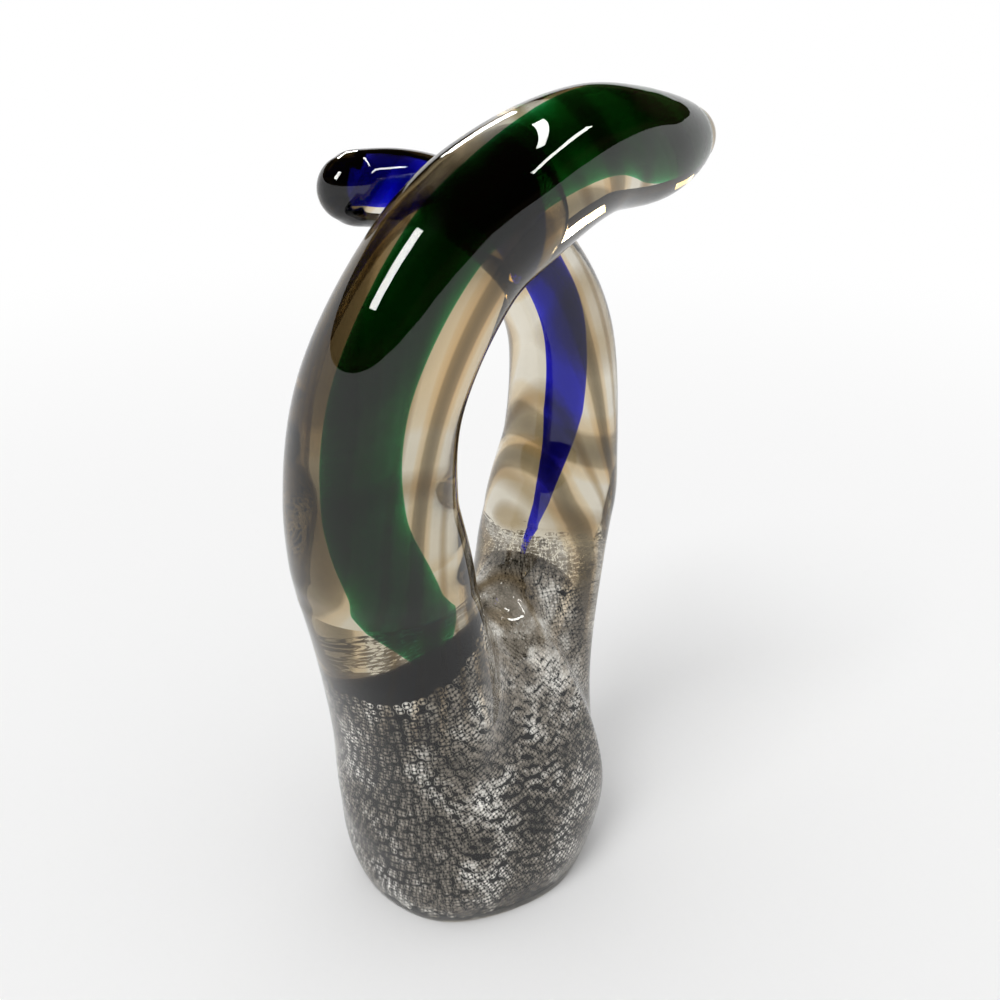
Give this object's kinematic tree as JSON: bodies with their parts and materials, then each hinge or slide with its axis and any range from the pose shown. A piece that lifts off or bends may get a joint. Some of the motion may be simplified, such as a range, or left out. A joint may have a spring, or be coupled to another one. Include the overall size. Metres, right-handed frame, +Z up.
{
  "type": "glass sculpture",
  "caption": "Upright knotted loop of solid clear glass on a bubbled base, with two arms that cross at the top over coloured canes.",
  "frame": {"origin": "centre of the ground foot, on the surface that it stands on", "axes": "+Z up, +X along the loop from the front arm's root to the rear arm's root, +Y through the eye towards the rear arm's tip"},
  "size_m": [0.1819, 0.0916, 0.2968],
  "materials": {
    "clear_glass": "fire-polished clear glass",
    "bubbled_glass": "clear glass full of small trapped air bubbles",
    "green_glass": "dense bottle green transparent glass",
    "blue_glass": "dense cobalt blue transparent glass"
  },
  "bodies": {
    "root": {"base_casing": "clear_glass", "bubble_gather": "bubbled_glass", "front_arm": "clear_glass", "rear_arm": "clear_glass", "green_cane": "green_glass", "blue_cane": "blue_glass"}
  },
  "joints": []
}
